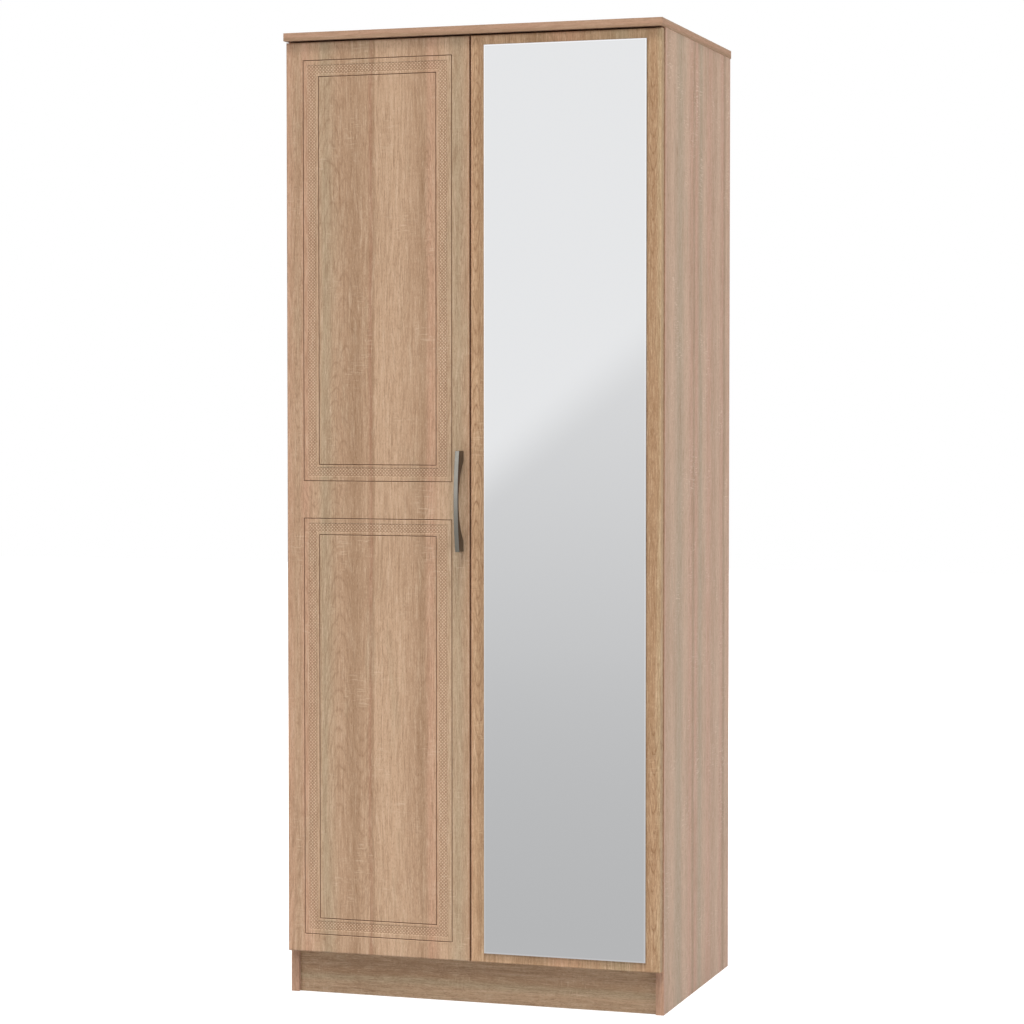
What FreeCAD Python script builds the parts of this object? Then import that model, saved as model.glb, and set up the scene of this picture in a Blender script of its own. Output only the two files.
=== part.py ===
import FreeCAD, Part

import os
import re

import Sketcher

# Free-standing wardrobe with two side-hung doors, the right one with a full-length mirror.
# Frame: +X to the right, the doors face -Y, +Z up. The origin is on the floor, at the middle of
# the overall width and depth. Millimetres throughout.

DIMENSIONS = [
    ("total_height", 1825, "floor to the upper face of the top"),
    ("top_width", 740, "width of the top panel"),
    ("carcass_width", 738, "outside of one side panel to the outside of the other"),
    ("side_depth", 497, "depth of a side panel"),
    ("board", 15, "thickness of the carcass boards"),
    ("band", 0.5, "thickness of the edge banding"),
    ("back_sheet", 2.5, "thickness of the hardboard back"),
    ("joiner_lip", 0.5, "thickness of each lip of the back joiner strip"),
    ("joiner_reach", 9, "half the width of the joiner's lips"),
    ("plinth_height", 80, "floor to the underside of the base panel"),
    ("plinth_recess", 8, "front plinth behind the side panels' front edges"),
    ("shelf_level", 1490, "floor to the underside of the hat shelf"),
    ("shelf_setback", 52, "shelf behind the side panels' front edges"),
    ("door_thickness", 18, "thickness of a door"),
    ("door_gap", 2.5, "door's back face in front of the side panels"),
    ("door_bottom", 82, "floor to the lower edge of a door"),
    ("door_headroom", 3, "door's upper edge below the top panel"),
    ("door_inset", 2, "door's outer edge inside the carcass's outer face"),
    ("meeting_gap", 3, "gap between the two doors"),
    ("door_edge_round", 2.5, "rounding of a door's front edges"),
    ("top_nose", 6, "top panel's front edge in front of the doors"),
    ("stile", 34.5, "door's edge to the outer groove"),
    ("rail", 71, "height of the plain rail between the two framed fields"),
    ("groove_half", 1.2, "half the width of a groove at the door's face"),
    ("groove_depth", 1.5, "depth of a groove"),
    ("groove_floor", 0.15, "half the width of a groove's flat bottom"),
    ("frame_band", 31, "outer groove to inner groove"),
    ("outer_strip", 8.5, "outer groove to the sunk pattern band"),
    ("inner_strip", 5, "sunk pattern band to the inner groove"),
    ("sunk_depth", 0.6, "depth of the sunk pattern band"),
    ("mirror_side", 26.5, "door's edge to the mirror's edge, at the sides"),
    ("mirror_end", 18, "door's edge to the mirror's edge, at top and bottom"),
    ("mirror_glass", 3, "thickness of the mirror"),
    ("mirror_arris", 0.6, "ground corner of the mirror's front edges"),
    ("tape", 1, "thickness of the mirror's adhesive tape"),
    ("tape_width", 25, "width of a strip of tape"),
    ("handle_length", 188, "overall height of the bow handle"),
    ("handle_centres", 160, "distance between the handle's two screws"),
    ("handle_width", 8.5, "width of the handle across the door"),
    ("handle_reach", 33.5, "handle's middle in front of the door's face"),
    ("handle_end_reach", 24, "handle's ends in front of the door's face"),
    ("handle_strap", 6, "thickness of the handle in the middle"),
    ("handle_foot", 20, "height of the handle's foot on the door"),
    ("handle_round", 0.8, "rounding of the handle's long edges"),
    ("handle_inset", 15.5, "handle's centre line from the door's meeting edge"),
    ("handle_screw_bite", 9, "length of a handle screw inside the handle"),
    ("rail_tall", 30, "height of the hanging rail's oval section"),
    ("rail_slim", 15, "depth of the hanging rail's oval section"),
    ("rail_wall", 1, "wall of the hanging rail"),
    ("rail_level", 1440, "floor to the middle of the hanging rail"),
    ("rail_play", 0.5, "gap between the rail's end and its socket's plate"),
    ("socket_plate", 3, "thickness of a rail socket's plate"),
    ("socket_depth", 12, "depth of a rail socket"),
    ("socket_play", 0.3, "gap between the rail and its socket all round"),
    ("socket_wall", 2, "wall of a rail socket"),
    ("socket_flange", 4.5, "rail socket's plate beyond the rail, in depth"),
    ("socket_tab", 16, "rail socket's plate beyond the rail, above and below"),
    ("socket_screws", 9, "socket screw above or below the rail"),
    ("hinge_end", 100, "door's end to the nearest hinge"),
    ("hinge_side", 22.5, "door's outer edge to the centre of a hinge cup"),
    ("cup_radius", 17.5, "radius of a hinge cup's bore"),
    ("cup_depth", 11.5, "depth of a hinge cup's bore"),
    ("cup_wall", 1, "wall of a hinge cup"),
    ("cup_rim", 1, "thickness of a hinge cup's rim on the door's back"),
    ("cup_flange", 1.5, "reach of a hinge cup's rim beyond its bore"),
    ("ear_tall", 58, "height of a hinge cup's ears, tip to tip"),
    ("ear_deep", 14, "width of a hinge cup's ears"),
    ("ear_start", 3, "outer edge of the ears outside the cup's middle"),
    ("ear_line", 5.5, "ear screws inside the cup's middle"),
    ("ear_screws", 24, "ear screw above or below the hinge's middle"),
    ("plate_line", 37, "mounting plate's screws behind the side's front edge"),
    ("wing_foot", 1.6, "thickness of a mounting plate's wings"),
    ("wing_tall", 52, "height of a mounting plate's wings, tip to tip"),
    ("wing_deep", 12, "depth of a mounting plate's wings"),
    ("wing_screws", 16, "wing screw above or below the hinge's middle"),
    ("ridge_half", 6, "half the height of a mounting plate's ridge"),
    ("ridge_rise", 5, "a ridge's top off the side panel"),
    ("ridge_ahead", 19, "a ridge's front end ahead of the wing screws"),
    ("ridge_length", 42, "length of a mounting plate's ridge"),
    ("arm_wall", 1.2, "sheet thickness of a hinge arm"),
    ("arm_play", 0.2, "gap between a hinge arm and its ridge or link"),
    ("arm_foot", 2, "a hinge arm's open edge off the side panel"),
    ("arm_eye", 2.8, "a hinge arm's metal around its pivot"),
    ("arm_behind", 25, "a hinge arm's rear end behind the wing screws"),
    ("adjuster_line", 15, "adjuster behind the wing screws"),
    ("pivot_x", 33.5, "hinge arm's pivot from the carcass's outer face"),
    ("pivot_y", 2.3, "hinge arm's pivot behind the side's front edge"),
    ("pin_radius", 1.5, "radius of a hinge pin"),
    ("pin_play", 0.05, "radial play of a hinge link on its pin"),
    ("pin_stub", 0.5, "end of a hinge pin outside the arm"),
    ("link_thickness", 2, "thickness of a hinge link"),
    ("link_half", 5, "half the width of a hinge link"),
    ("link_eye", 2.6, "outer radius of a hinge link's eye"),
    ("screw_shank", 2, "radius of a screw's shank"),
    ("wood_screw_length", 12, "length of a wood screw under its head"),
    ("cam_radius", 7.5, "radius of a cam lock"),
    ("cam_depth", 12, "depth of a cam lock"),
    ("cam_inset", 24, "cam lock's centre from the end of its board"),
    ("bolt_radius", 3, "radius of a cam bolt"),
    ("bolt_bite", 10, "length of a cam bolt or dowel in the board it is screwed into"),
    ("dowel_radius", 4, "radius of a wooden dowel"),
    ("dowel_length", 30, "length of a wooden dowel"),
    ("joint_setback", 75, "first cam bolt from a board's front or rear edge"),
    ("dowel_step", 32, "dowel from the cam bolt beside it"),
    ("sheet_start", 40, "floor to the lower edge of the back"),
    ("bumper_radius", 5, "radius of a door bumper"),
    ("bumper_height", 2.2, "height of a door bumper"),
    ("cam_play", 0.05, "gap between a cam lock and its bore"),
    ("plinth_dowel", 20, "dowel below the cam bolt in a plinth's end"),
    ("wall_hole", 3, "radius of the wall screw's hole"),
    ("bracket_line", 200, "anti-tip bracket to the right of the middle"),
    ("bracket_leg", 38, "length of each leg of the anti-tip bracket"),
    ("bracket_metal", 2, "thickness of the anti-tip bracket"),
    ("bracket_half", 10, "half the width of the anti-tip bracket"),
    ("bracket_hole", 24.7, "wall screw's hole below the top panel"),
    ("nail_head", 2.2, "radius of a nail's head"),
    ("nail_cap", 0.5, "thickness of a nail's head"),
    ("nail_shank", 0.8, "radius of a nail's shank"),
    ("nail_length", 18, "length of a nail under its head"),
    ("sheet_edge", 1, "back's edge inside the carcass's outer faces"),
    ("joiner_web", 1, "half the thickness of the back joiner's web"),
    ("joiner_play", 0.2, "gap between a back sheet and the joiner's web"),
    ("shelf_clearance", 2, "hat shelf's rear edge ahead of the back"),
    ("tape_inset", 20, "adhesive tape inside the mirror's edges"),
]

X = FreeCAD.Vector(1, 0, 0)
Y = FreeCAD.Vector(0, 1, 0)
Z = FreeCAD.Vector(0, 0, 1)

# Places that several boards share, as formulas over the sheet's names.
FRONT = "((handle_reach + door_thickness + door_gap - side_depth - back_sheet - joiner_lip) / 2)"
REAR = f"({FRONT} + side_depth)"
OUTER = "(carcass_width / 2)"
INNER = "(carcass_width / 2 - board)"
UNDER_TOP = "(total_height - board)"
DOOR_BACK = f"({FRONT} - door_gap)"
DOOR_FACE = f"({FRONT} - door_gap - door_thickness)"
DOOR_WIDTH = "(carcass_width / 2 - door_inset - meeting_gap / 2)"
DOOR_HEIGHT = "(total_height - board - door_headroom - door_bottom)"
DOOR_MIDDLE = f"(door_bottom + {DOOR_HEIGHT} / 2)"
MEETING = "(meeting_gap / 2)"

doc = FreeCAD.newDocument("wardrobe")
sheet = doc.addObject("Spreadsheet::Sheet", "dims")
for row, (alias, size, note) in enumerate(DIMENSIONS, start=1):
    sheet.set(f"A{row}", note)
    sheet.set(f"B{row}", str(size))
    sheet.setAlias(f"B{row}", alias)
doc.recompute()

subparts = []


def formula(text):
    """The text with every name of a dimension pointed at the sheet."""
    return re.sub(r"\b([a-z][a-z_]*)\b", r"dims.\1", text)


def value(text):
    """The number that a formula over the sheet gives now."""
    result = sheet.evalExpression(formula(text))
    return float(getattr(result, "Value", result))


def bind(thing, **sizes):
    for name, text in sizes.items():
        thing.setExpression(name, formula(text))


def put(thing, x, y, z):
    for name, text in zip("xyz", (x, y, z)):
        thing.setExpression(f"Placement.Base.{name}", formula(text))


def box(name, corner, size):
    """A block from its lowest corner and its size, each three formulas."""
    block = doc.addObject("Part::Box", name)
    bind(block, Length=size[0], Width=size[1], Height=size[2])
    put(block, *corner)
    return block


def rod(name, start, radius, length, axis=Z):
    """A cylinder that starts at start and runs along axis."""
    cylinder = doc.addObject("Part::Cylinder", name)
    cylinder.Placement.Rotation = FreeCAD.Rotation(Z, axis)
    bind(cylinder, Radius=radius, Height=length)
    put(cylinder, *start)
    return cylinder


def together(name, pieces):
    compound = doc.addObject("Part::Compound", name)
    compound.Links = pieces
    return compound


def fused(name, pieces):
    fusion = doc.addObject("Part::MultiFuse", name)
    fusion.Shapes = pieces
    return fusion


def cut(name, base, tools):
    result = doc.addObject("Part::Cut", name)
    result.Base = base
    result.Tool = tools[0] if len(tools) == 1 else together(f"{name}_tools", tools)
    return result


def keep(label, thing):
    """Marks a finished sub-part, which becomes the node of that name."""
    thing.Label = label
    subparts.append(thing)
    return thing


def fixed_shape(name, shape):
    feature = doc.addObject("Part::Feature", name)
    feature.Shape = shape
    return feature


def place(x, y, z, rotation=None):
    return FreeCAD.Placement(FreeCAD.Vector(x, y, z), rotation or FreeCAD.Rotation())


def at(shape, placement):
    """A copy of the shape, moved from where it was made by the placement."""
    copy = shape.copy()
    copy.Placement = placement.multiply(shape.Placement)
    return copy


def several(shape, placements):
    return Part.makeCompound([at(shape, placement) for placement in placements])


def copies(name, master, placements):
    """Separate copies of one master object, as one compound."""
    doc.recompute()
    return fixed_shape(name, several(master.Shape, placements))


def origin_plane(body, role):
    return next(feature for feature in body.Origin.OriginFeatures if feature.Role == role)


def new_body(name):
    return doc.addObject("PartDesign::Body", name)


def new_sketch(body, name, role):
    drawing = body.newObject("Sketcher::SketchObject", name)
    drawing.AttachmentSupport = [(origin_plane(body, role), "")]
    drawing.MapMode = "FlatFace"
    return drawing


def closed_outline(drawing, edges):
    """Adds edges that meet end to end and ties the ends that meet."""
    numbers = [drawing.addGeometry(edge, False) for edge in edges]
    for here, following in zip(numbers, numbers[1:] + numbers[:1]):
        meeting = next((a, b) for a in (1, 2) for b in (1, 2)
                       if drawing.getPoint(here, a).isEqual(drawing.getPoint(following, b), 1e-6))
        ends_tied = Sketcher.Constraint("Coincident", here, meeting[0], following, meeting[1])
        drawing.addConstraint(ends_tied)
    return numbers


def drive(drawing, kind, elements, text):
    """A dimension on the sketch's elements that follows a formula over the sheet."""
    number = drawing.addConstraint(Sketcher.Constraint(kind, *elements, value(text)))
    drawing.setExpression(f"Constraints[{number}]", formula(text))


def rectangle(drawing, width, height):
    """A rectangle from the origin whose two sides are bound to the sheet."""
    w, h = value(width), value(height)
    corners = [FreeCAD.Vector(x, y, 0) for x, y in ((0, 0), (w, 0), (w, h), (0, h))]
    edges = [Part.LineSegment(a, b) for a, b in zip(corners, corners[1:] + corners[:1])]
    bottom, right, top, left = closed_outline(drawing, edges)
    for line in (bottom, top):
        drawing.addConstraint(Sketcher.Constraint("Horizontal", line))
    for line in (right, left):
        drawing.addConstraint(Sketcher.Constraint("Vertical", line))
    drawing.addConstraint(Sketcher.Constraint("Coincident", bottom, 1, -1, 1))
    drive(drawing, "DistanceX", (bottom, 1, bottom, 2), width)
    drive(drawing, "DistanceY", (right, 1, right, 2), height)


def circle(drawing, radius):
    """A circle about the origin whose radius is bound to the sheet."""
    number = drawing.addGeometry(Part.Circle(FreeCAD.Vector(), Z, value(radius)), False)
    drawing.addConstraint(Sketcher.Constraint("Coincident", number, 3, -1, 1))
    drive(drawing, "Radius", (number,), radius)


def pad(body, drawing, length, midplane=False):
    feature = body.newObject("PartDesign::Pad", f"{body.Name}_pad")
    feature.Profile = drawing
    feature.Midplane = midplane
    bind(feature, Length=length)


def dress(body, kind, size, wanted):
    """A fillet or chamfer on the body's edges for which wanted(edge centre) is true."""
    doc.recompute()
    base = body.Tip
    edges = [f"Edge{number}" for number, edge in enumerate(base.Shape.Edges, start=1)
             if wanted(edge.CenterOfMass)]
    feature = body.newObject(f"PartDesign::{kind}", f"{body.Name}_{kind.lower()}")
    feature.Base = (base, edges)
    bind(feature, **{"Radius" if kind == "Fillet" else "Size": size})


# ---------------------------------------------------------------- joinery and fasteners

def ends(sign):
    """Turns +X to the side that sign names."""
    return FreeCAD.Rotation(Z, 0 if sign > 0 else 180)


def cam_lock():
    """A cam lock standing on the XY plane, with a driver slot in its lower face."""
    body = new_body("cam_master")
    drawing = new_sketch(body, "cam_circle", "XY_Plane")
    circle(drawing, "cam_radius - cam_play")
    pad(body, drawing, "cam_depth")
    slot = box("cam_slot", ("-cam_radius / 2", "-cam_radius / 10", "0"),
               ("cam_radius", "cam_radius / 5", "cam_depth / 5"))
    return cut("cam", body, [slot])


def pan_screw(name, head, head_height, length):
    """A screw along +Z whose slotted, domed head stands below the XY plane."""
    dome = rod(f"{name}_head", ("0", "0", f"-{head_height}"), head, head_height)
    rounded = doc.addObject("Part::Fillet", f"{name}_round")
    rounded.Base = dome
    doc.recompute()
    bend = value(head_height) / 2
    rim = next(number for number, edge in enumerate(dome.Shape.Edges, start=1)
               if isinstance(edge.Curve, Part.Circle) and edge.CenterOfMass.z < -bend)
    rounded.Edges = [(rim, bend, bend)]
    stem = rod(f"{name}_stem", ("0", "0", "0"), "screw_shank", length)
    slot = box(f"{name}_slot", (f"-{head} / 2", f"-{head} / 8", f"-{head_height}"),
               (head, f"{head} / 4", f"{head_height} / 2"))
    return cut(name, fused(f"{name}_blank", [rounded, stem]), [slot])


bolt_length = "(cam_inset - cam_radius + bolt_bite)"
cam = cam_lock()
cam_bore = rod("cam_bore", ("0", "0", "0"), "cam_radius", "cam_depth")
bolt = rod("bolt_master", ("0", "0", "0"), "bolt_radius", bolt_length, X)
dowel = rod("dowel_master", ("0", "0", "0"), "dowel_radius", "dowel_length", X)

cam_places = []
bolt_places = []
dowel_places = []


def end_joint(sign, bolt_spot, cam_level, dowel_spot, cam_turn=None, cam_shift=0):
    """One cam lock, its bolt and a dowel where a board meets the side panel on that side.

    A spot is y and z in the side panel's inner face. The cam stands on cam_level, moved along Y
    by cam_shift.
    """
    wall = sign * value(INNER)
    bite = wall + sign * value("bolt_bite")
    cam_x = wall - sign * value("cam_inset")
    cam_places.append(place(cam_x, bolt_spot[0] + cam_shift, cam_level, cam_turn))
    bolt_places.append(place(bite, *bolt_spot, ends(-sign)))
    dowel_places.append(place(bite, *dowel_spot, ends(-sign)))


step = value("dowel_step")
half_board = value("board / 2")
joint_rows = (value(f"{FRONT} + joint_setback"), value(f"{REAR} - joint_setback"))
plinth_rows = ((value(f"{FRONT} + plinth_recess + board / 2"), 1),
               (value(f"{REAR} - board / 2"), -1))

for sign in (-1, 1):
    # Base panel and hat shelf: cams in their undersides, near the front and the rear.
    for level in (value("plinth_height"), value("shelf_level")):
        middle = level + half_board
        for y, inward in zip(joint_rows, (1, -1)):
            end_joint(sign, (y, middle), level, (y + inward * step, middle))
    # Plinths: one cam at each end, in the face that looks into the carcass.
    half_up = value("plinth_height / 2")
    for y, inward in plinth_rows:
        end_joint(sign, (y, half_up), half_up, (y, half_up - value("plinth_dowel")),
                  FreeCAD.Rotation(X, 90 * inward), inward * half_board)
    # Top panel: cams in the side panels' inner faces, bolts up into the top.
    cam_level = value(f"{UNDER_TOP} - cam_inset")
    bolt_end = value(f"{UNDER_TOP} + bolt_bite")
    bolt_x = sign * value("carcass_width / 2 - board / 2")
    down = FreeCAD.Rotation(Y, 90)
    for y, inward in zip(joint_rows, (1, -1)):
        cam_places.append(place(sign * value(INNER), y, cam_level, FreeCAD.Rotation(Y, 90 * sign)))
        bolt_places.append(place(bolt_x, y, bolt_end, down))
        dowel_places.append(place(bolt_x, y + inward * step, bolt_end, down))

keep("cam_locks", copies("cam_locks", cam, cam_places))
cam_bores = copies("cam_bores", cam_bore, cam_places)
cam_bolts = keep("cam_bolts", copies("cam_bolts", bolt, bolt_places))
dowels = keep("wood_dowels", copies("wood_dowels", dowel, dowel_places))

# ---------------------------------------------------------------- hinges
# A hinge is drawn for the left side, from the corner where the side panel's outer face meets its
# front edge, at the hinge's height. The right ones are mirror images.

hinge_levels = [value("door_bottom + hinge_end"), value(DOOR_MIDDLE),
                value(f"{UNDER_TOP} - door_headroom - hinge_end")]
CUP_X = "(door_inset + hinge_side)"
EAR_X = f"({CUP_X} + ear_line)"
ARM_TALL = "(ridge_half + arm_play + arm_wall)"
ARM_ROOF = "(pivot_x + arm_eye)"
ADJUSTER_Y = "(plate_line + adjuster_line)"
OVERSHOOT = "1"


def hinge_plate():
    wings = box("plate_wings", ("board", "plate_line - wing_deep / 2", "-wing_tall / 2"),
                ("wing_foot", "wing_deep", "wing_tall"))
    ridge = box("plate_ridge", ("board", "plate_line - ridge_ahead", "-ridge_half"),
                ("ridge_rise", "ridge_length", "2 * ridge_half"))
    spots = [("plate_line", "wing_screws"), ("plate_line", "-wing_screws"), (ADJUSTER_Y, "0")]
    holes = [rod(f"plate_hole_{n}", (f"board - {OVERSHOOT}", y, z), "screw_shank",
                 f"ridge_rise + 2 * {OVERSHOOT}", X)
             for n, (y, z) in enumerate(spots)]
    return cut("hinge_plate", fused("plate_blank", [wings, ridge]), holes)


def hinge_arm():
    """A channel that clips over the plate's ridge and carries the link's pin at its front."""
    slack = "(ridge_half + arm_play)"
    start = "(pivot_y - arm_eye)"
    foot = "(board + arm_foot)"
    length = f"(plate_line + arm_behind - {start})"
    blank = box("arm_blank", (foot, start, f"-{ARM_TALL}"),
                (f"{ARM_ROOF} + arm_wall - {foot}", length, f"2 * {ARM_TALL}"))
    hollow = box("arm_hollow", (f"{foot} - {OVERSHOOT}", f"{start} - {OVERSHOOT}", f"-{slack}"),
                 (f"{ARM_ROOF} - {foot} + {OVERSHOOT}", f"{length} + 2 * {OVERSHOOT}", f"2 * {slack}"))
    eye = rod("arm_pin_bore", ("pivot_x", "pivot_y", f"-({ARM_TALL} + {OVERSHOOT})"), "pin_radius",
              f"2 * ({ARM_TALL} + {OVERSHOOT})")
    screw = rod("arm_screw_bore", (f"{ARM_ROOF} - {OVERSHOOT}", ADJUSTER_Y, "0"), "screw_shank",
                f"arm_wall + 2 * {OVERSHOOT}", X)
    return cut("hinge_arm", blank, [hollow, eye, screw])


def hinge_link():
    """The bent strap from the arm's pin into the cup, where its end stays free."""
    pivot = FreeCAD.Vector(value("pivot_x"), value("pivot_y"), 0)
    bends = [(-0.3, -7.3), (-8.1, -13.7), (-22.6, -12.4)]
    route = [pivot] + [pivot + FreeCAD.Vector(x, y, 0) for x, y in bends]
    half = value("link_half")
    outline = Part.makePolygon(route).makeOffset2D(
        value("link_thickness / 2"), join=0, fill=False, openResult=False)
    strap = Part.Face(outline).extrude(Z * 2 * half)
    eye = Part.makeCylinder(value("link_eye"), 2 * half, pivot)
    bore = Part.makeCylinder(value("pin_radius + pin_play"), 2 * half, pivot)
    link = strap.fuse(eye).cut(bore).removeSplitter()
    link.translate(Z * -half)
    return fixed_shape("hinge_link", link)


def hinge_cup():
    back = "(-door_gap)"
    above = f"({back} + cup_rim + {OVERSHOOT})"
    shell = rod("cup_shell", (CUP_X, back, "0"), "cup_radius - cam_play", "cup_depth - cam_play", -Y)
    rim = rod("cup_rim_disc", (CUP_X, f"{back} + cup_rim", "0"), "cup_radius + cup_flange",
              "cup_rim", -Y)
    ears = box("cup_ears", (f"{CUP_X} - ear_start", back, "-ear_tall / 2"),
               ("ear_deep", "cup_rim", "ear_tall"))
    hollow = rod("cup_hollow", (CUP_X, above, "0"), "cup_radius - cup_wall",
                 f"cup_depth + cup_rim + {OVERSHOOT} - cup_wall", -Y)
    holes = [rod(f"cup_hole_{n}", (EAR_X, above, f"{n} * ear_screws"), "screw_shank",
                 f"cup_rim + 2 * {OVERSHOOT}", -Y)
             for n in (-1, 1)]
    return cut("hinge_cup", fused("cup_blank", [shell, rim, ears]), [hollow] + holes)


def screw_group(name, master, spots, direction):
    """The screws of one hinge: copies of a screw along a direction."""
    turn = FreeCAD.Rotation(Z, direction)
    return fixed_shape(name, several(master.Shape, [place(*spot, turn) for spot in spots]))


def hinge_set(name, shape, sign):
    """Three copies of a hinge piece, down the left (-1) or right (1) side."""
    if sign > 0:
        shape = shape.mirror(FreeCAD.Vector(), X)
    corner = sign * value(OUTER)
    levels = [place(corner, value(FRONT), level) for level in hinge_levels]
    return fixed_shape(name, several(shape, levels))


wood_screw = pan_screw("wood_screw", "3.6", "1.6", "wood_screw_length")
adjuster = pan_screw("adjuster", "4", "1.8", f"({ARM_ROOF} + arm_wall - board - ridge_rise / 2)")
half_pin = f"({ARM_TALL} + pin_stub)"
pin = rod("pin_master", ("pivot_x", "pivot_y", f"-{half_pin}"), "pin_radius", f"2 * {half_pin}")
cup_bore = rod("cup_bore", (CUP_X, "-door_gap", "0"), "cup_radius", "cup_depth", -Y)
doc.recompute()

wing_face = value("board + wing_foot")
ear_face = value("cup_rim - door_gap")
roof_face = value(f"{ARM_ROOF} + arm_wall")
wing_spots = [(wing_face, value("plate_line"), n * value("wing_screws")) for n in (-1, 1)]
ear_spots = [(value(EAR_X), ear_face, n * value("ear_screws")) for n in (-1, 1)]
adjuster_spots = [(roof_face, value(ADJUSTER_Y), 0)]
hinge_pieces = {
    "hinge_plates": hinge_plate(),
    "hinge_arms": hinge_arm(),
    "hinge_links": hinge_link(),
    "hinge_cups": hinge_cup(),
    "hinge_pins": pin,
    "plate_screws": screw_group("plate_screw_pair", wood_screw, wing_spots, -X),
    "cup_screws": screw_group("cup_screw_pair", wood_screw, ear_spots, -Y),
    "hinge_adjusters": screw_group("adjuster_one", adjuster, adjuster_spots, -X),
    "cup_bores": cup_bore,
}
doc.recompute()

hinges = {}
for sign, side in ((-1, "left"), (1, "right")):
    for kind, piece in hinge_pieces.items():
        label = f"{side}_{kind}"
        hinges[label] = hinge_set(label, piece.Shape, sign)
        if kind != "cup_bores":
            keep(label, hinges[label])

# ---------------------------------------------------------------- hanging rail

RAIL_MIDDLE = f"({FRONT} + side_depth / 2)"
RAIL_LENGTH = f"(2 * ({INNER} - socket_plate - rail_play))"


def oval(drawing, tall, slim):
    """An upright oval about the origin: two straight sides and two round ends."""
    radius = value(f"({slim}) / 2")
    rise = value(f"({tall}) / 2") - radius
    corners = ((radius, -rise), (radius, rise), (-radius, rise), (-radius, -rise))
    low_right, high_right, high_left, low_left = [FreeCAD.Vector(x, y, 0) for x, y in corners]
    crown = FreeCAD.Vector(0, rise + radius, 0)
    right, over, left, _ = closed_outline(drawing, [
        Part.LineSegment(low_right, high_right),
        Part.Arc(high_right, crown, high_left),
        Part.LineSegment(high_left, low_left),
        Part.Arc(low_left, -crown, low_right),
    ])
    for line in (right, left):
        drawing.addConstraint(Sketcher.Constraint("Vertical", line))
    drive(drawing, "Radius", (over,), f"({slim}) / 2")


def oval_bar(name, tall, slim, length, hole=None):
    """A bar of oval section along +X, or a tube if hole gives its inner size."""
    body = new_body(name)
    drawing = new_sketch(body, f"{name}_section", "YZ_Plane")
    oval(drawing, tall, slim)
    if hole:
        oval(drawing, *hole)
    pad(body, drawing, length)
    return body


hanging_rail = oval_bar("hanging_rail", "rail_tall", "rail_slim", RAIL_LENGTH,
                        ("rail_tall - 2 * rail_wall", "rail_slim - 2 * rail_wall"))
put(hanging_rail, f"-{RAIL_LENGTH} / 2", RAIL_MIDDLE, "rail_level")
keep("hanging_rail", hanging_rail)

plate = oval_bar("socket_plate_disc", "rail_tall + 2 * socket_tab", "rail_slim + 2 * socket_flange",
                 "socket_plate")
collar_tall = "rail_tall + 2 * (socket_play + socket_wall)"
collar_slim = "rail_slim + 2 * (socket_play + socket_wall)"
collar = oval_bar("socket_collar", collar_tall, collar_slim, "socket_depth")
seat = oval_bar("socket_seat", "rail_tall + 2 * socket_play", "rail_slim + 2 * socket_play",
                "socket_depth")
put(seat, "socket_plate", "0", "0")
SCREW_RISE = "(rail_tall / 2 + socket_screws)"
socket_holes = [rod(f"socket_hole_{n}", (f"-{OVERSHOOT}", "0", f"{n} * {SCREW_RISE}"), "screw_shank",
                    f"socket_plate + 2 * {OVERSHOOT}", X)
                for n in (-1, 1)]
socket = cut("socket", fused("socket_blank", [plate, collar]), [seat] + socket_holes)

socket_places = []
socket_screw_places = []
for sign in (-1, 1):
    wall = sign * value(INNER)
    socket_places.append(place(wall, value(RAIL_MIDDLE), value("rail_level"), ends(-sign)))
    for n in (-1, 1):
        socket_screw_places.append(place(
            wall - sign * value("socket_plate"), value(RAIL_MIDDLE),
            value(f"rail_level + {n} * {SCREW_RISE}"), FreeCAD.Rotation(Z, X * sign)))
keep("rail_sockets", copies("rail_sockets", socket, socket_places))
socket_screws = keep("rail_socket_screws",
                     copies("rail_socket_screws", wood_screw, socket_screw_places))

# ---------------------------------------------------------------- anti-tip bracket

bracket_left = "(bracket_line - bracket_half)"
flat_leg = box("bracket_flat", (bracket_left, f"{REAR} - bracket_leg", f"{UNDER_TOP} - bracket_metal"),
               ("2 * bracket_half", "bracket_leg", "bracket_metal"))
wall_leg = box("bracket_upright", (bracket_left, f"{REAR} - bracket_metal", f"{UNDER_TOP} - bracket_leg"),
               ("2 * bracket_half", "bracket_metal", "bracket_leg"))
wall_bore = rod("wall_bore", ("bracket_line", f"{REAR} - bracket_metal - {OVERSHOOT}",
                              f"{UNDER_TOP} - bracket_hole"),
                "wall_hole", f"bracket_metal + back_sheet + 2 * {OVERSHOOT}", Y)
bracket_rows = [f"({REAR} - {share} * bracket_leg)" for share in (0.35, 0.75)]
bracket_bores = [rod(f"bracket_bore_{n}", ("bracket_line", row, f"{UNDER_TOP} - bracket_metal - {OVERSHOOT}"),
                     "screw_shank", f"bracket_metal + 2 * {OVERSHOOT}")
                 for n, row in enumerate(bracket_rows)]
bracket_blank = fused("bracket_blank", [flat_leg, wall_leg])
keep("wall_bracket", cut("wall_bracket", bracket_blank, [wall_bore] + bracket_bores))
bracket_screw_places = [place(value("bracket_line"), value(row), value(f"{UNDER_TOP} - bracket_metal"))
                        for row in bracket_rows]
bracket_screws = keep("wall_bracket_screws",
                      copies("wall_bracket_screws", wood_screw, bracket_screw_places))

# ---------------------------------------------------------------- nails of the back

SHEET_TOP = UNDER_TOP
SHEET_HEIGHT = f"({SHEET_TOP} - sheet_start)"
SHEET_WIDTH = f"({OUTER} - sheet_edge - joiner_web - joiner_play)"
NAILS_UP = 10
NAIL_MARGIN = 20

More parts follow.
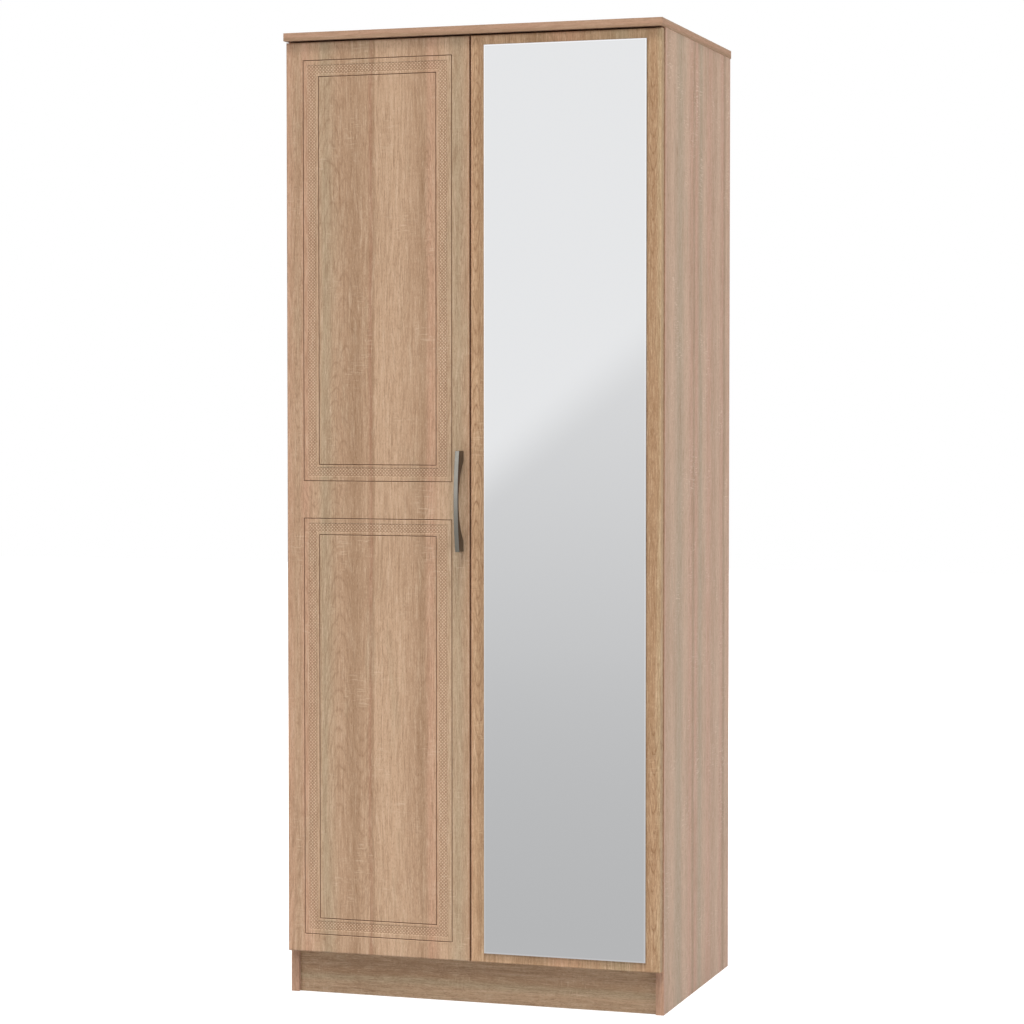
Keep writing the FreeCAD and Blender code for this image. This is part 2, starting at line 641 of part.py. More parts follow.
nail_step = (value(SHEET_HEIGHT) - 2 * NAIL_MARGIN) / (NAILS_UP - 1)
nail_levels = [value("sheet_start") + NAIL_MARGIN + n * nail_step for n in range(NAILS_UP)]
nail_columns = [value(f"{OUTER} * {share}") for share in (0.16, 0.46, 0.76)]
nail_spots = []
for sign in (-1, 1):
    nail_spots += [(sign * value(f"{OUTER} - board / 2"), level) for level in nail_levels]
    nail_spots += [(sign * x, value("plinth_height + board / 2")) for x in nail_columns]
nail = fused("nail_master", [
    rod("nail_disc", ("0", "0", "-nail_cap"), "nail_head", "nail_cap"),
    rod("nail_stem", ("0", "0", "0"), "nail_shank", "nail_length"),
])
nail_places = [place(x, value(f"{REAR} + back_sheet"), z, FreeCAD.Rotation(Z, -Y)) for x, z in nail_spots]
nails = keep("back_panel_nails", copies("back_panel_nails", nail, nail_places))

# ---------------------------------------------------------------- carcass boards

SHELF_DEPTH = "(side_depth - shelf_setback - shelf_clearance)"

side_holes = [cam_bores, cam_bolts, dowels, socket_screws, nails]
for sign, side in ((-1, "left"), (1, "right")):
    x = f"-{OUTER}" if sign < 0 else INNER
    blank = box(f"{side}_side_blank", (x, f"{FRONT} + band", "0"), ("board", "side_depth - band", UNDER_TOP))
    panel = cut(f"{side}_side_panel", blank, side_holes + [hinges[f"{side}_plate_screws"]])
    keep(f"{side}_side_panel", panel)
    keep(f"{side}_side_edge_band", box(f"{side}_side_band", (x, FRONT, "0"), ("board", "band", UNDER_TOP)))

TOP_FRONT = f"({DOOR_FACE} - top_nose)"
TOP_DEPTH = "(side_depth + back_sheet + joiner_lip + door_gap + door_thickness + top_nose)"
TOP_LEFT = "(-top_width / 2)"
behind_band = f"({TOP_FRONT} + band)"
core_depth = f"{TOP_DEPTH} - band"
top_blank = box("top_blank", (f"{TOP_LEFT} + band", behind_band, UNDER_TOP),
                ("top_width - 2 * band", core_depth, "board"))
keep("top_panel", cut("top_panel", top_blank, [cam_bolts, dowels, bracket_screws]))
keep("top_edge_bands", together("top_edge_bands", [
    box("top_front_band", (TOP_LEFT, TOP_FRONT, UNDER_TOP), ("top_width", "band", "board")),
    box("top_left_band", (TOP_LEFT, behind_band, UNDER_TOP), ("band", core_depth, "board")),
    box("top_right_band", ("top_width / 2 - band", behind_band, UNDER_TOP), ("band", core_depth, "board")),
]))

inner_boards = {
    "base_panel": ((f"{FRONT} + band", "plinth_height"), ("side_depth - band", "board")),
    "hat_shelf": ((f"{FRONT} + shelf_setback + band", "shelf_level"), (f"{SHELF_DEPTH} - band", "board")),
    "front_plinth": ((f"{FRONT} + plinth_recess", "0"), ("board", "plinth_height")),
    "rear_plinth": ((f"{REAR} - board", "0"), ("board", "plinth_height")),
}
for label, ((y, z), (depth, height)) in inner_boards.items():
    blank = box(f"{label}_blank", (f"-{INNER}", y, z), (f"2 * {INNER}", depth, height))
    keep(label, cut(label, blank, [cam_bores, cam_bolts, dowels, nails]))
for label, y, z in (("base_edge_band", FRONT, "plinth_height"),
                    ("shelf_edge_band", f"{FRONT} + shelf_setback", "shelf_level")):
    keep(label, box(f"{label}_strip", (f"-{INNER}", y, z), (f"2 * {INNER}", "band", "board")))

# ---------------------------------------------------------------- back

for sign, side in ((-1, "left"), (1, "right")):
    x = f"sheet_edge - {OUTER}" if sign < 0 else "joiner_web + joiner_play"
    blank = box(f"{side}_back_blank", (x, REAR, "sheet_start"), (SHEET_WIDTH, "back_sheet", SHEET_HEIGHT))
    keep(f"{side}_back_sheet", cut(f"{side}_back_sheet", blank, [nails, wall_bore]))

JOINER_BOTTOM = "(plinth_height + board + joiner_lip)"
JOINER_HEIGHT = f"({SHEET_TOP} - {JOINER_BOTTOM})"
web = box("joiner_web_strip", ("-joiner_web", f"{REAR} - joiner_lip", JOINER_BOTTOM),
          ("2 * joiner_web", "back_sheet + 2 * joiner_lip", JOINER_HEIGHT))
lips = [box(f"joiner_lip_{n}", ("-joiner_reach", y, JOINER_BOTTOM),
            ("2 * joiner_reach", "joiner_lip", JOINER_HEIGHT))
        for n, y in enumerate((f"{REAR} - joiner_lip", f"{REAR} + back_sheet"))]
keep("back_joiner", fused("back_joiner", [web] + lips))

# ---------------------------------------------------------------- doors


def door_blank(name):
    """A door slab with every front edge rounded, its lower left rear corner at the origin."""
    body = new_body(name)
    drawing = new_sketch(body, f"{name}_outline", "XZ_Plane")
    rectangle(drawing, DOOR_WIDTH, DOOR_HEIGHT)
    pad(body, drawing, "door_thickness")
    front = -value("door_thickness")
    dress(body, "Fillet", "door_edge_round", lambda centre: abs(centre.y - front) < 1e-6)
    return body


FIELD_WIDTH = f"({DOOR_WIDTH} - 2 * stile)"
FIELD_HEIGHT = f"(({DOOR_HEIGHT} - 2 * stile - rail) / 2)"


def wedge(name, inset, depth, rise):
    """A block over a framed field of the door, from just above the face down to depth.

    At the face it lies inset from the field's edges; it narrows (rise > 0) or widens (rise < 0)
    by rise on each side from there to depth. The field's lower left corner is at the origin.
    """
    block = doc.addObject("Part::Wedge", name)
    above = 0.5
    spread = f"(({rise}) * {above} / ({depth}))"
    low = f"({inset} - {spread})"
    far = f"({inset} + ({rise}))"
    bind(block, Ymin=f"-{above}", Ymax=depth)
    bind(block, Xmin=low, Xmax=f"{FIELD_WIDTH} - {low}", Zmin=low, Zmax=f"{FIELD_HEIGHT} - {low}")
    bind(block, X2min=far, X2max=f"{FIELD_WIDTH} - {far}", Z2min=far, Z2max=f"{FIELD_HEIGHT} - {far}")
    return block


def channel(name, start, width, depth, slope, corner):
    """A rectangular ring sunk in the door's face, with sloping walls."""
    outer = wedge(f"{name}_outer", start, depth, slope)
    inner = wedge(f"{name}_inner", f"{start} + {width}", depth, f"-({slope})")
    for block in (outer, inner):
        put(block, *corner)
    return cut(name, outer, [inner])


def groove(name, line, corner):
    """A narrow V groove whose middle runs line inside the field's edges."""
    slope = "(groove_half - groove_floor)"
    return channel(name, f"({line} - groove_half)", "2 * groove_half", "groove_depth", slope, corner)


left_x = f"(door_inset - {OUTER})"
cuts = [hinges["left_cup_bores"], hinges["left_cup_screws"]]
for n, z in enumerate(("(door_bottom + stile)", f"(door_bottom + stile + {FIELD_HEIGHT} + rail)")):
    corner = (f"{left_x} + stile", DOOR_FACE, z)
    cuts.append(groove(f"outer_groove_{n}", "0", corner))
    cuts.append(groove(f"inner_groove_{n}", "frame_band", corner))
    cuts.append(channel(f"pattern_band_{n}", "outer_strip", "frame_band - outer_strip - inner_strip",
                        "sunk_depth", "sunk_depth", corner))

HANDLE_X = f"(-{MEETING} - handle_inset)"
HANDLE_OPENING = "(handle_length / 2 - handle_foot)"
HANDLE_HOLLOW = "(handle_reach - handle_strap)"
handle_screw_levels = [f"({DOOR_MIDDLE} + {n} * handle_centres / 2)" for n in (-1, 1)]
machine_screw = pan_screw("machine_screw", "4", "2.4", "door_thickness + handle_screw_bite")
handle_screw_places = [place(value(HANDLE_X), value(DOOR_BACK), value(level), FreeCAD.Rotation(Z, -Y))
                       for level in handle_screw_levels]
handle_screws = keep("handle_screws", copies("handle_screws", machine_screw, handle_screw_places))

left_blank = door_blank("left_door_blank")
put(left_blank, left_x, DOOR_BACK, "door_bottom")
keep("left_door_panel", cut("left_door_panel", left_blank, cuts + [handle_screws]))

right_blank = door_blank("right_door_blank")
put(right_blank, MEETING, DOOR_BACK, "door_bottom")
keep("right_door_panel", cut("right_door_panel", right_blank,
                             [hinges["right_cup_bores"], hinges["right_cup_screws"]]))

# ---------------------------------------------------------------- handle


def arc_radius(half_chord, rise):
    return f"((({half_chord}) ^ 2 + ({rise}) ^ 2) / (2 * ({rise})))"


def bow_handle():
    """A strap bowed outwards between two feet: its side view, padded across the door."""
    body = new_body("handle_bow")
    drawing = new_sketch(body, "handle_side", "YZ_Plane")
    half, foot = value("handle_length / 2"), value(HANDLE_OPENING)
    end_reach, reach = value("handle_end_reach"), value("handle_reach")
    point = FreeCAD.Vector
    outer_top, outer_low = point(-end_reach, half, 0), point(-end_reach, -half, 0)
    inner_top, inner_low = point(0, foot, 0), point(0, -foot, 0)
    low_end, bow, top_end, top_foot, hollow, low_foot = closed_outline(drawing, [
        Part.LineSegment(point(0, -half, 0), outer_low),
        Part.Arc(outer_low, point(-reach, 0, 0), outer_top),
        Part.LineSegment(outer_top, point(0, half, 0)),
        Part.LineSegment(point(0, half, 0), inner_top),
        Part.Arc(inner_top, point(-value(HANDLE_HOLLOW), 0, 0), inner_low),
        Part.LineSegment(inner_low, point(0, -half, 0)),
    ])
    for line in (low_end, top_end):
        drawing.addConstraint(Sketcher.Constraint("Horizontal", line))
    for line in (top_foot, low_foot):
        drawing.addConstraint(Sketcher.Constraint("PointOnObject", line, 1, -2))
        drawing.addConstraint(Sketcher.Constraint("PointOnObject", line, 2, -2))
        drive(drawing, "DistanceY", (line, 2, line, 1), "handle_foot")
    drive(drawing, "DistanceY", (-1, 1, top_foot, 1), "handle_length / 2")
    drive(drawing, "DistanceY", (low_foot, 2, -1, 1), "handle_length / 2")
    drive(drawing, "DistanceX", (low_end, 2, low_end, 1), "handle_end_reach")
    drive(drawing, "DistanceX", (top_end, 1, top_end, 2), "handle_end_reach")
    drive(drawing, "Radius", (bow,), arc_radius("handle_length / 2", "handle_reach - handle_end_reach"))
    drive(drawing, "Radius", (hollow,), arc_radius(HANDLE_OPENING, HANDLE_HOLLOW))
    pad(body, drawing, "handle_width", midplane=True)
    dress(body, "Fillet", "handle_round", lambda centre: centre.y < -1)
    put(body, HANDLE_X, DOOR_FACE, DOOR_MIDDLE)
    return body


keep("bow_handle", cut("bow_handle", bow_handle(), [handle_screws]))

# ---------------------------------------------------------------- mirror

MIRROR_WIDTH = f"({DOOR_WIDTH} - 2 * mirror_side)"
MIRROR_HEIGHT = f"({DOOR_HEIGHT} - 2 * mirror_end)"
mirror_body = new_body("mirror_body")
mirror_outline = new_sketch(mirror_body, "mirror_outline", "XZ_Plane")
rectangle(mirror_outline, MIRROR_WIDTH, MIRROR_HEIGHT)
pad(mirror_body, mirror_outline, "mirror_glass")
mirror_front = -value("mirror_glass")
dress(mirror_body, "Chamfer", "mirror_arris", lambda centre: abs(centre.y - mirror_front) < 1e-6)
put(mirror_body, f"{MEETING} + mirror_side", f"{DOOR_FACE} - tape", "door_bottom + mirror_end")
keep("mirror", mirror_body)

strip_offsets = ["tape_inset", f"({MIRROR_WIDTH} / 2 - tape_width / 2)",
                 f"({MIRROR_WIDTH} - tape_inset - tape_width)"]
strips = [box(f"tape_strip_{n}",
              (f"{MEETING} + mirror_side + {offset}", f"{DOOR_FACE} - tape",
               "door_bottom + mirror_end + tape_inset"),
              ("tape_width", "tape", f"{MIRROR_HEIGHT} - 2 * tape_inset"))
          for n, offset in enumerate(strip_offsets)]
keep("mirror_tapes", together("mirror_tapes", strips))

# ---------------------------------------------------------------- bumpers

bumper = rod("bumper_master", ("0", "0", "0"), "bumper_radius", "bumper_height", Y)
bumper_columns = (value(f"{MEETING} + 2 * bumper_radius"), value(f"{INNER} * 0.9"))
bumper_level = value("plinth_height + board / 2 + 1")
for sign, side in ((-1, "left"), (1, "right")):
    spots = [place(sign * x, value(DOOR_BACK), bumper_level) for x in bumper_columns]
    keep(f"{side}_door_bumpers", copies(f"{side}_door_bumpers", bumper, spots))

# ---------------------------------------------------------------- checks and files

doc.recompute()
for thing in doc.Objects:
    if {"Invalid", "Error"} & set(thing.State):
        raise SystemExit(f"{thing.Name} failed: {thing.State}")

os.makedirs("parts", exist_ok=True)
for thing in subparts:
    if thing.Shape.isNull() or not thing.Shape.isValid():
        raise SystemExit(f"{thing.Label} has no valid shape")
    print(thing.Label, len(thing.Shape.Solids), round(thing.Shape.Volume, 1))
    thing.Shape.exportStep(f"parts/{thing.Label}.step")
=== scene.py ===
import math

import bpy
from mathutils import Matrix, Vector


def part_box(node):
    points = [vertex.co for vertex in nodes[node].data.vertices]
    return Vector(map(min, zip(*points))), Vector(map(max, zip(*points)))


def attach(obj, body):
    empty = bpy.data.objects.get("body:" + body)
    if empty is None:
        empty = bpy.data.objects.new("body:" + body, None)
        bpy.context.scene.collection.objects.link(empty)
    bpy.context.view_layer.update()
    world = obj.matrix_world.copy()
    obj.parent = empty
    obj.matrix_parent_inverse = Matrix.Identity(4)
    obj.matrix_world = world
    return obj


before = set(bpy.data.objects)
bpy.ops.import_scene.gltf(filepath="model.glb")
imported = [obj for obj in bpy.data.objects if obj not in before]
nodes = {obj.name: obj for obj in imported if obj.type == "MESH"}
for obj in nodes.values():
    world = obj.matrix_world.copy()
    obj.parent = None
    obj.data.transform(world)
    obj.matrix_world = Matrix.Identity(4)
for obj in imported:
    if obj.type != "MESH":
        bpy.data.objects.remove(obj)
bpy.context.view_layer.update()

# Looks of the two-door oak-foil wardrobe. Metres, in the model's frame: +X right, doors face -Y, +Z up.

MM = 0.001

# ---------------------------------------------------------------- node helpers


class Graph:
    """Shader nodes of one material, with short calls for what the finishes below repeat."""

    def __init__(self, name):
        self.material = bpy.data.materials.new(name)
        self.material.use_nodes = True
        self.tree = self.material.node_tree
        self.shader = self.tree.nodes["Principled BSDF"]
        self.coordinates = self.new("ShaderNodeTexCoord")

    def new(self, kind, **settings):
        node = self.tree.nodes.new(kind)
        for key, setting in settings.items():
            setattr(node, key, setting)
        return node

    def link(self, source, target):
        """Links an output to an input, or sets the input where source is a number or a colour."""
        if isinstance(source, bpy.types.NodeSocket):
            self.tree.links.new(source, target)
        else:
            target.default_value = source
        return target

    def set(self, **inputs):
        """Sets sockets of the Principled shader, named with underscores for spaces."""
        for key, source in inputs.items():
            self.link(source, self.shader.inputs[key.replace("_", " ")])

    def math(self, operation, *terms, clamp=False):
        node = self.new("ShaderNodeMath", operation=operation, use_clamp=clamp)
        for socket, term in zip(node.inputs, terms):
            self.link(term, socket)
        return node.outputs[0]

    def place(self):
        """Where a point lies, as its x, y and z in the model's frame at rest."""
        split = self.new("ShaderNodeSeparateXYZ")
        self.link(self.coordinates.outputs["Object"], split.inputs[0])
        return split.outputs[0], split.outputs[1], split.outputs[2]

    def facing(self):
        """The surface's direction at rest, as three numbers."""
        split = self.new("ShaderNodeSeparateXYZ")
        self.link(self.coordinates.outputs["Normal"], split.inputs[0])
        return split.outputs[0], split.outputs[1], split.outputs[2]

    def point(self, x, y, z):
        joined = self.new("ShaderNodeCombineXYZ")
        for socket, term in zip(joined.inputs, (x, y, z)):
            self.link(term, socket)
        return joined.outputs[0]

    def stretch(self, vector, scale, offset=(0, 0, 0)):
        mapping = self.new("ShaderNodeMapping", vector_type="POINT")
        self.link(vector, mapping.inputs["Vector"])
        mapping.inputs["Scale"].default_value = scale
        mapping.inputs["Location"].default_value = offset
        return mapping.outputs[0]

    def noise(self, vector, scale=1.0, detail=2.0, roughness=0.5, distortion=0.0):
        node = self.new("ShaderNodeTexNoise")
        self.link(vector, node.inputs["Vector"])
        node.inputs["Scale"].default_value = scale
        node.inputs["Detail"].default_value = detail
        node.inputs["Roughness"].default_value = roughness
        node.inputs["Distortion"].default_value = distortion
        return node.outputs["Fac"]

    def fade(self, source, low, high, to_low=0.0, to_high=1.0):
        """A smooth step of source from low to high."""
        node = self.new("ShaderNodeMapRange", interpolation_type="SMOOTHSTEP")
        for key, term in (("Value", source), ("From Min", low), ("From Max", high),
                          ("To Min", to_low), ("To Max", to_high)):
            self.link(term, node.inputs[key])
        return node.outputs[0]

    def span(self, source, low, high, to_low, to_high):
        """A straight remap of source, clamped."""
        node = self.new("ShaderNodeMapRange")
        for key, term in (("Value", source), ("From Min", low), ("From Max", high),
                          ("To Min", to_low), ("To Max", to_high)):
            self.link(term, node.inputs[key])
        return node.outputs[0]

    def mix(self, share, a, b, blend="MIX"):
        node = self.new("ShaderNodeMix", data_type="RGBA", blend_type=blend)
        self.link(share, node.inputs["Factor"])
        self.link(a, node.inputs["A"])
        self.link(b, node.inputs["B"])
        return node.outputs["Result"]

    def ramp(self, source, stops, interpolation="EASE"):
        """Colours along source, from (place, colour) stops."""
        node = self.new("ShaderNodeValToRGB")
        self.link(source, node.inputs["Fac"])
        band = node.color_ramp
        band.interpolation = interpolation
        while len(band.elements) < len(stops):
            band.elements.new(0.5)
        for element, (place, colour) in zip(band.elements, stops):
            element.position = place
            element.color = colour
        return node.outputs["Color"]

    def bump(self, height, distance, strength=1.0, below=None):
        node = self.new("ShaderNodeBump")
        node.inputs["Strength"].default_value = strength
        node.inputs["Distance"].default_value = distance
        self.link(height, node.inputs["Height"])
        if below is not None:
            self.link(below, node.inputs["Normal"])
        return node.outputs[0]


def dress(material, *names):
    """Gives CAD nodes or pieces a finish."""
    for name in names:
        thing = nodes[name] if name in nodes else bpy.data.objects[name]
        thing.data.materials.clear()
        thing.data.materials.append(material)


def tone(red, green, blue):
    return (red, green, blue, 1.0)


# ---------------------------------------------------------------- oak foil
# The print shows planks of slightly different oak side by side, each with its own fibres, growth
# rings that close into nested arches, fine saw marks across the grain and open pores.

OAK = tone(0.515, 0.330, 0.208)
OAK_LIGHT = tone(0.590, 0.390, 0.252)
OAK_PINK = tone(0.575, 0.340, 0.222)
OAK_GREY = tone(0.470, 0.345, 0.222)
OAK_DARK = tone(0.430, 0.268, 0.162)
OAK_RUST = tone(0.430, 0.235, 0.145)
# The dark fibre colour also serves as painted shade in the lattice's hollows, and the pale saw-mark colour
# serves as the painted highlight on its tips.
FIBRE_AND_SHADE = tone(0.250, 0.130, 0.065)
SAW_AND_HIGHLIGHT = tone(0.760, 0.580, 0.420)
CHIP_LIGHT = tone(0.500, 0.380, 0.240)
CHIP_DARK = tone(0.200, 0.130, 0.070)
GROOVE_DARK = tone(0.085, 0.040, 0.018)


ARCH_RINGS = 21.0
ARCH_SHARPNESS = 2.8
ARCH_BOW = 0.75
LEVEL_RINGS = 78.0
LEVEL_SHARPNESS = 1.8


def arches(g, u, w, figures, wander):
    """Growth rings that close into nested arches around each figure's middle line.

    A figure is its line across the board, its tip along the board, its half width, its length
    (negative where it opens downwards) and its strength.
    """
    total = None
    for line, tip, half, length, strength in figures:
        side = g.math("ADD", g.math("SUBTRACT", u, line), g.math("MULTIPLY", wander, half * 0.9))
        away = g.math("SUBTRACT", w, tip)
        bowed = g.math("SUBTRACT", g.math("DIVIDE", away, length),
                       g.math("MULTIPLY", g.math("MULTIPLY", side, side), ARCH_BOW / half ** 2))
        rings = g.math("ABSOLUTE", g.math("SINE", g.math("MULTIPLY", bowed, ARCH_RINGS)))
        line_share = g.math("POWER", g.math("SUBTRACT", 1.0, rings), ARCH_SHARPNESS)
        across = g.fade(g.math("ABSOLUTE", side), half, half * 0.55)
        along = g.math("MULTIPLY", g.fade(g.math("DIVIDE", away, length), -1.3, -0.7),
                       g.fade(g.math("DIVIDE", away, length), 1.5, 0.7))
        share = g.math("MULTIPLY", g.math("MULTIPLY", line_share, across),
                       g.math("MULTIPLY", along, strength))
        total = share if total is None else g.math("MAXIMUM", total, share)
    return total


def oak(name, across, along, bands, figures, shift=0.0, contrast=1.0, figure=0.55, ticks=0.34, core=None,
        groove=None, tint=None, wrapped=False):
    """An oak-print foil. across and along are the axes 0, 1 or 2 of the board's width and grain.

    bands are the planks' (place, colour) along the width, in metres; on the plinth and on the top's
    edge some of them are painted light and shade. shift slides the whole print along the grain.
    contrast scales how strongly the fibres show, figure the growth rings and ticks the saw marks.
    core is an axis and sign whose faces show raw chipboard. groove is the face's y and the left,
    right, low and high limits of the field where, by depth below the face, the sunk lines are
    darkened, partly as the darker foil such grooves have and partly as painted shade, and the
    lattice's hollows get painted shade and its raised tips a painted highlight. tint multiplies
    the print's colour. wrapped edging has its grain run round the corner, along x and y alike.
    """
    g = Graph(name)
    position = g.place()
    facing = g.facing()
    u, w = position[across], position[along]
    depth = position[3 - across - along]
    if wrapped:
        w, depth = g.math("ADD", w, depth), 0.0
    board = g.point(u, depth, g.math("ADD", w, shift))

    # Planks: the width decides the colour, with edges that wander a little along the grain.
    sway = g.math("SUBTRACT", g.noise(g.stretch(board, (6, 6, 2.2)), detail=3), 0.5)
    first, last = bands[0][0], bands[-1][0]
    swayed = g.math("ADD", u, g.math("MULTIPLY", sway, 0.016))
    width_share = g.span(swayed, first, last, 0.0, 1.0)
    stops = [((place - first) / (last - first), colour) for place, colour in bands]
    colour = g.ramp(width_share, stops, "EASE")

    # Broad clouds of light, dark and greyish wood along the planks.
    cloud = g.noise(g.stretch(board, (34, 34, 3.2)), detail=4, roughness=0.62)
    mist = g.noise(g.stretch(board, (24, 24, 4.5), (5.3, 1.1, 2.9)), detail=4, roughness=0.6)
    colour = g.mix(g.fade(cloud, 0.50, 0.74, 0.0, 0.50), colour, OAK_LIGHT)
    colour = g.mix(g.fade(cloud, 0.50, 0.26, 0.0, 0.50), colour, OAK_DARK)
    colour = g.mix(g.fade(mist, 0.54, 0.74, 0.0, 0.50), colour, OAK_GREY)

    # Fibres: streaks that run with the grain, leaning a little where the figure swings.
    leaning = g.point(g.math("ADD", u, g.math("MULTIPLY", sway, 0.030)), depth, g.math("ADD", w, shift))
    coarse = g.noise(g.stretch(leaning, (230, 230, 7)), detail=3, roughness=0.6)
    fine = g.noise(g.stretch(leaning, (520, 520, 34)), detail=3, roughness=0.65)
    speck = g.noise(g.stretch(leaning, (620, 620, 190)), detail=2, roughness=0.6)
    colour = g.mix(g.fade(coarse, 0.48, 0.76, 0.0, 0.24 * contrast), colour, FIBRE_AND_SHADE)
    colour = g.mix(g.fade(coarse, 0.48, 0.24, 0.0, 0.26 * contrast), colour, SAW_AND_HIGHLIGHT)
    colour = g.mix(g.fade(fine, 0.48, 0.76, 0.0, 0.40 * contrast), colour, FIBRE_AND_SHADE)
    colour = g.mix(g.fade(fine, 0.48, 0.24, 0.0, 0.32 * contrast), colour, SAW_AND_HIGHLIGHT)
    colour = g.mix(g.fade(speck, 0.52, 0.76, 0.0, 0.34 * contrast), colour, FIBRE_AND_SHADE)
    colour = g.mix(g.fade(speck, 0.46, 0.24, 0.0, 0.26 * contrast), colour, SAW_AND_HIGHLIGHT)

    # Growth rings: level lines of a slow field all over the board, and the nested arches.
    field = g.noise(g.stretch(board, (17, 17, 2.6), (1.7, 0.4, 6.1)),
                    detail=2, roughness=0.45, distortion=0.3)
    waves = g.math("ABSOLUTE", g.math("SINE", g.math("MULTIPLY", field, LEVEL_RINGS)))
    level_line = g.math("POWER", g.math("SUBTRACT", 1.0, waves), LEVEL_SHARPNESS)
    zone = g.fade(g.noise(g.stretch(board, (20, 20, 4.0), (8.8, 3.3, 0.6)), detail=2), 0.46, 0.66)
    wander = g.math("SUBTRACT", g.noise(g.stretch(board, (22, 22, 7)), detail=3, roughness=0.6), 0.5)
    rings = arches(g, u, w, figures, wander)
    rings = g.math("MAXIMUM", rings, g.math("MULTIPLY", g.math("MULTIPLY", level_line, zone), 0.62))
    broken = g.fade(g.noise(g.stretch(board, (320, 320, 60)), detail=2), 0.30, 0.60)
    rings = g.math("MULTIPLY", rings, broken)
    colour = g.mix(g.math("MULTIPLY", rings, figure), colour, FIBRE_AND_SHADE)

    # Saw marks: short pale ticks across the grain, in a few patches.
    tick = g.noise(g.stretch(board, (55, 55, 420)), detail=2, roughness=0.5)
    patch = g.noise(g.stretch(board, (17, 17, 8), (3.1, 0.0, 1.7)), detail=2)
    marks = g.math("MULTIPLY", g.fade(tick, 0.54, 0.70), g.fade(patch, 0.52, 0.70))
    colour = g.mix(g.math("MULTIPLY", marks, ticks), colour, SAW_AND_HIGHLIGHT)

    # Pores: short dark dashes.
    pore = g.noise(g.stretch(board, (1100, 1100, 70)), detail=1)
    pores = g.fade(pore, 0.66, 0.74)
    colour = g.mix(g.math("MULTIPLY", pores, 0.40), colour, FIBRE_AND_SHADE)

    if tint:
        colour = g.mix(1.0, colour, tint, "MULTIPLY")

    height = g.math("SUBTRACT", g.math("MULTIPLY", fine, 0.6), g.math("MULTIPLY", pores, 0.8))
    height = g.math("SUBTRACT", height, g.math("MULTIPLY", rings, 0.5))

    if groove:
        face_y, left, right, low, high = groove
        x, y, z = position
        inside = g.math("MULTIPLY",
                        g.math("MULTIPLY", g.math("GREATER_THAN", x, left), g.math("LESS_THAN", x, right)),
                        g.math("MULTIPLY", g.math("GREATER_THAN", z, low), g.math("LESS_THAN", z, high)))

        def by_depth(start, end, *shares):
            """A smooth step between two depths below the face, given in millimetres."""
            return g.fade(y, face_y + start * MM, face_y + end * MM, *shares)

        # By depth below the face: the cut grooves are darkened, partly as the darker foil such grooves have
        # and partly as painted shade; the lattice's hollows get painted shade and its raised tips a painted
        # highlight.
        front = g.math("MULTIPLY", inside, by_depth(2.5, 2.0))
        cut = g.math("MULTIPLY", front, by_depth(0.75, 1.25, 0.0, 0.66))
        pressed = g.math("MULTIPLY", front, by_depth(0.30, 0.46, 0.0, 0.44))
        raised = g.math("MULTIPLY", by_depth(0.36, 0.16), by_depth(0.03, 0.08, 0.0, 0.60))
        tips = g.math("MULTIPLY", inside, raised)
        colour = g.mix(pressed, colour, FIBRE_AND_SHADE)
        colour = g.mix(tips, colour, SAW_AND_HIGHLIGHT)
        colour = g.mix(cut, colour, GROOVE_DARK)

    roughness = g.span(fine, 0.3, 0.7, 0.46, 0.60)
    if core:
        axis, sign = core
        raw = g.math("GREATER_THAN", g.math("MULTIPLY", facing[axis], sign), 0.9)
        chips = g.new("ShaderNodeTexVoronoi", feature="F1")
        g.link(g.stretch(g.coordinates.outputs["Object"], (420, 420, 420)), chips.inputs["Vector"])
        grit = g.noise(g.stretch(g.coordinates.outputs["Object"], (900, 900, 900)), detail=2)
        chip_share = g.math("MULTIPLY", g.math("ADD", chips.outputs["Distance"], grit), 0.62)
        board_core = g.ramp(chip_share, [(0.25, CHIP_DARK), (0.45, CHIP_LIGHT), (0.8, CHIP_LIGHT)])
        colour = g.mix(raw, colour, board_core)
        roughness = g.math("MAXIMUM", roughness, g.math("MULTIPLY", raw, 0.9))
        height = g.math("ADD", height, g.math("MULTIPLY", raw, chips.outputs["Distance"]))

    g.set(Base_Color=colour, Roughness=roughness, Specular_IOR_Level=0.3,
          Normal=g.bump(height, 0.00012, 0.5))
    return g.material


left_low, left_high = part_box("left_door_panel")
right_low, right_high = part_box("right_door_panel")
side_low, side_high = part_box("right_side_panel")


def spread(low, high, stops):
    """Band stops given as shares of a board's width, in metres."""
    return [(low + share * (high - low), colour) for share, colour in stops]


LEFT_DOOR_BANDS = [
    (0.00, OAK_PINK), (0.06, OAK), (0.10, OAK_PINK), (0.17, OAK_LIGHT), (0.21, OAK_GREY), (0.30, OAK),
    (0.38, OAK_DARK), (0.45, OAK), (0.465, OAK_RUST), (0.480, OAK_DARK), (0.49, OAK_LIGHT), (0.60, OAK_LIGHT),
    (0.70, OAK), (0.75, OAK_DARK), (0.79, OAK_PINK), (0.86, OAK_LIGHT), (0.94, OAK_GREY), (1.00, OAK)]
RIGHT_DOOR_BANDS = [
    (0.00, OAK_PINK), (0.02, OAK), (0.05, OAK_DARK), (0.09, OAK), (0.20, OAK_LIGHT), (0.35, OAK_DARK),
    (0.50, OAK_PINK), (0.65, OAK), (0.80, OAK_GREY), (0.90, OAK), (0.93, OAK_DARK), (0.97, OAK_DARK),
    (1.00, OAK_GREY)]
SIDE_BANDS = [
    (0.00, OAK_PINK), (0.04, OAK), (0.11, OAK_LIGHT), (0.22, OAK_GREY), (0.31, OAK_LIGHT), (0.39, OAK_PINK),
    (0.43, OAK_DARK), (0.46, OAK_PINK), (0.53, OAK_GREY), (0.59, OAK_LIGHT), (0.66, OAK_PINK), (0.74, OAK),
    (0.81, OAK_LIGHT), (0.87, OAK_PINK), (0.91, OAK_DARK), (0.94, OAK_LIGHT), (1.00, OAK_PINK)]

